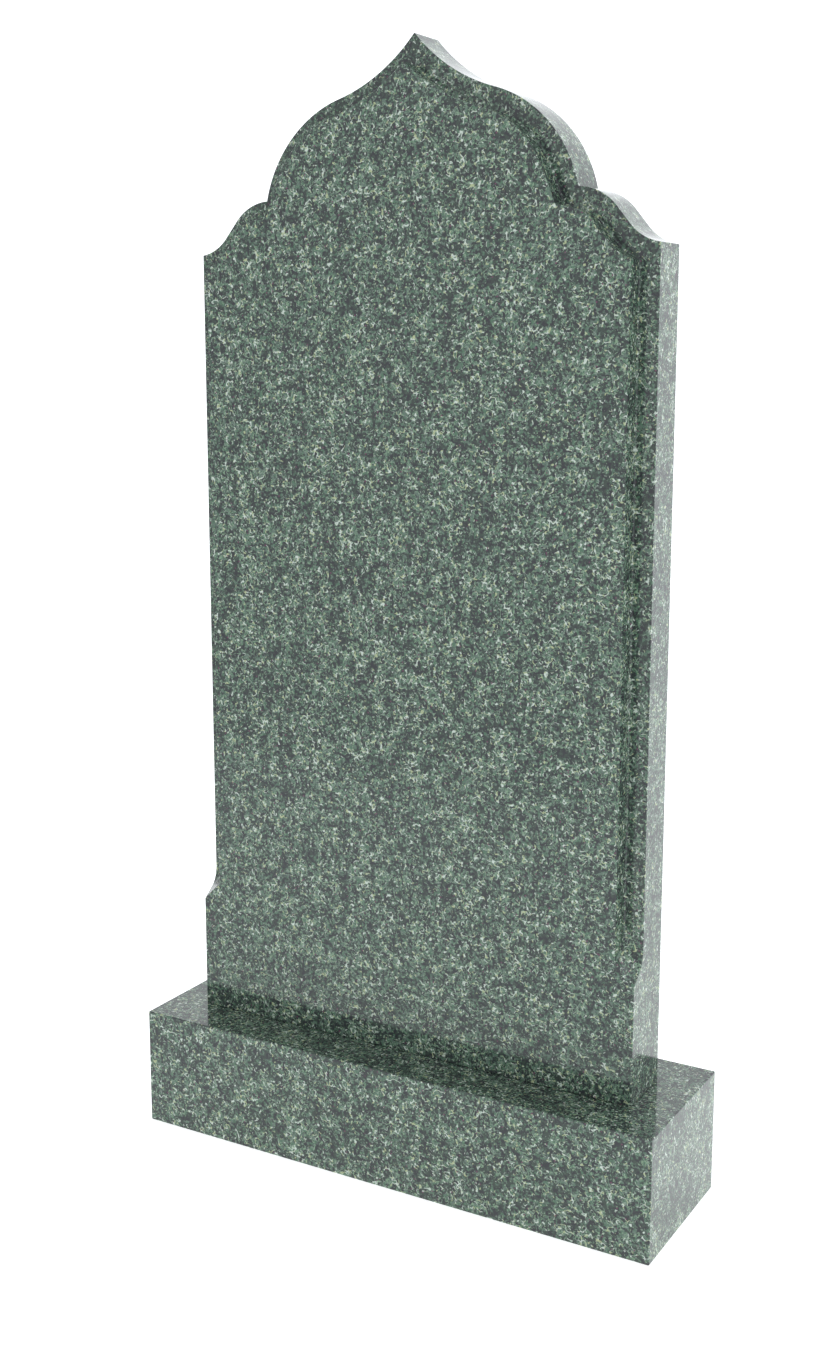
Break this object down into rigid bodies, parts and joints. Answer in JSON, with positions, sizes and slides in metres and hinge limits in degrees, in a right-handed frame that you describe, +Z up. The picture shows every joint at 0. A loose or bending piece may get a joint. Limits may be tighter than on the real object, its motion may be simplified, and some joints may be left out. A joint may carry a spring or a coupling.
{
  "type": "headstone",
  "caption": "Upright polished granite headstone with an ogee head, notched shoulders and a raised front panel, standing on a plain rectangular plinth.",
  "frame": {"origin": "middle of the plinth's underside", "axes": "+Z up; the raised panel faces -Y; +X is to the viewer's right when looking at the panel"},
  "size_m": [0.7, 0.2, 1.3503],
  "materials": {
    "green_granite": "polished"
  },
  "bodies": {
    "root": {"plinth": "green_granite", "stele": "green_granite"}
  },
  "joints": []
}
